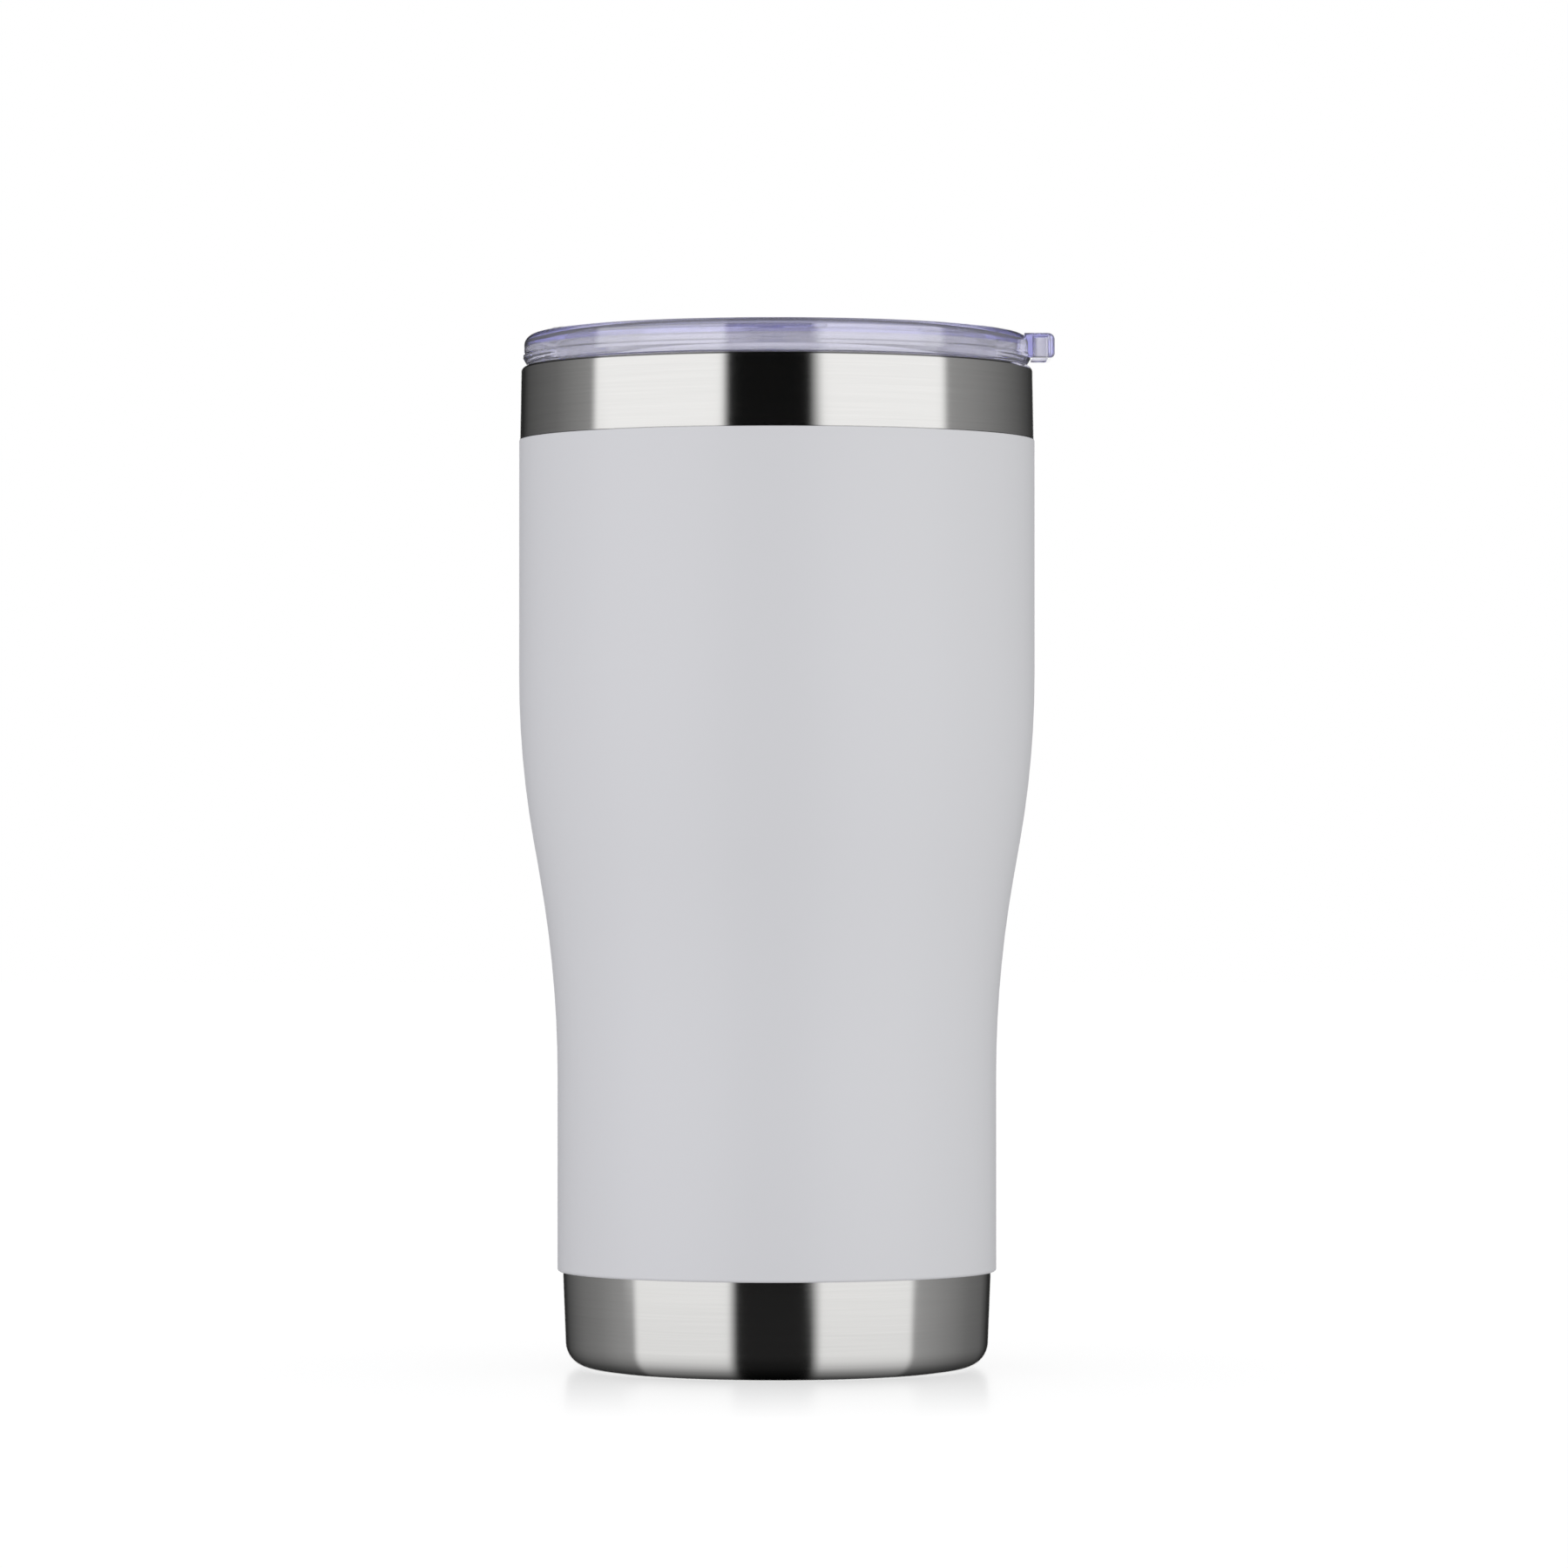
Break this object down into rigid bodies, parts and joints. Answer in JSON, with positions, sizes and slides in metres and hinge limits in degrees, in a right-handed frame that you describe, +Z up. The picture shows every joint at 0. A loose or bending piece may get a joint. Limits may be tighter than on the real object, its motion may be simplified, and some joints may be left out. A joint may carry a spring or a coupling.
{
  "type": "insulated tumbler with lid",
  "caption": "Double-walled steel tumbler with a waisted grip sleeve and a clear press-in lid that has a lift tab and a sliding closure.",
  "frame": {"origin": "centre of the foot ring's contact plane", "axes": "+Z up along the cup's axis, +X towards the lid's lift tab"},
  "size_m": [0.0902, 0.087, 0.1744],
  "materials": {
    "steel_brushed": "brushed round the axis, satin",
    "steel_satin": "electropolished satin",
    "sleeve": "light cool grey, satin",
    "solder_glass": "dark fused glass",
    "getter_powder": "pressed powder",
    "lid_clear": "clear, violet tinted, polished",
    "silicone": "translucent silicone",
    "slider_plastic": "violet tinted, clear"
  },
  "bodies": {
    "cup": {"outer_shell": "steel_brushed", "inner_liner": "steel_satin", "grip_sleeve": "sleeve", "base_plate": "steel_satin", "base_cover": "steel_brushed", "evacuation_seal": "solder_glass", "getter": "getter_powder", "getter_holder": "steel_satin"},
    "gasket": {"lid_gasket": "silicone"},
    "lid": {"lid_body": "lid_clear"},
    "closure": {"slider": "slider_plastic", "slider_seal": "silicone", "slider_retainer": "slider_plastic"}
  },
  "joints": [
    {"name": "lid_lift", "type": "slide", "parent": "cup", "child": "gasket", "axis": [0, 0, 1], "range_m": [0, 0.08]},
    {"name": "lid_turn", "type": "hinge", "parent": "gasket", "child": "lid", "pos_m": [0, 0, 0.163], "axis": [0, 0, 1], "continuous": true},
    {"name": "slider_slide", "type": "slide", "parent": "lid", "child": "closure", "axis": [1, 0, 0], "range_m": [0, 0.0125]}
  ]
}
